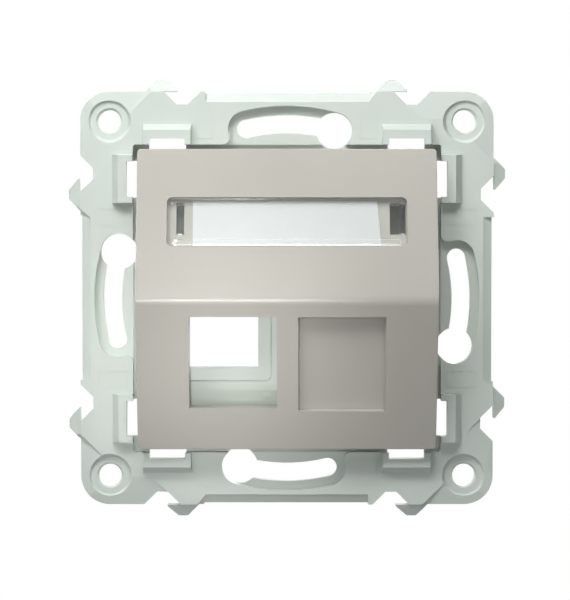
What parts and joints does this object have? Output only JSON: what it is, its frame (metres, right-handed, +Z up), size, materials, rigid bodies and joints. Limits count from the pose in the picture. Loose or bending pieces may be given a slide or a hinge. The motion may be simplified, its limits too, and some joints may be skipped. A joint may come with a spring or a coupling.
{
  "type": "keystone socket housing",
  "caption": "Flush wall housing for keystone modules: square mounting frame with hooked edges, roof-shaped centre plate, label window, open bay and blanked bay.",
  "frame": {"origin": "centre of the square of the four corner screw holes, on the frame's back face against the wall", "axes": "+X to the right, +Z up, -Y forward out of the wall, as the socket is seen from the front"},
  "size_m": [0.075, 0.0194, 0.075],
  "materials": {
    "frame": "satin",
    "plate": "glossy",
    "window": "clear",
    "card": "matte"
  },
  "bodies": {
    "root": {"mounting_frame": "frame", "centre_plate": "plate", "blank_insert": "plate", "label_window": "window", "label_card": "card"}
  },
  "joints": []
}
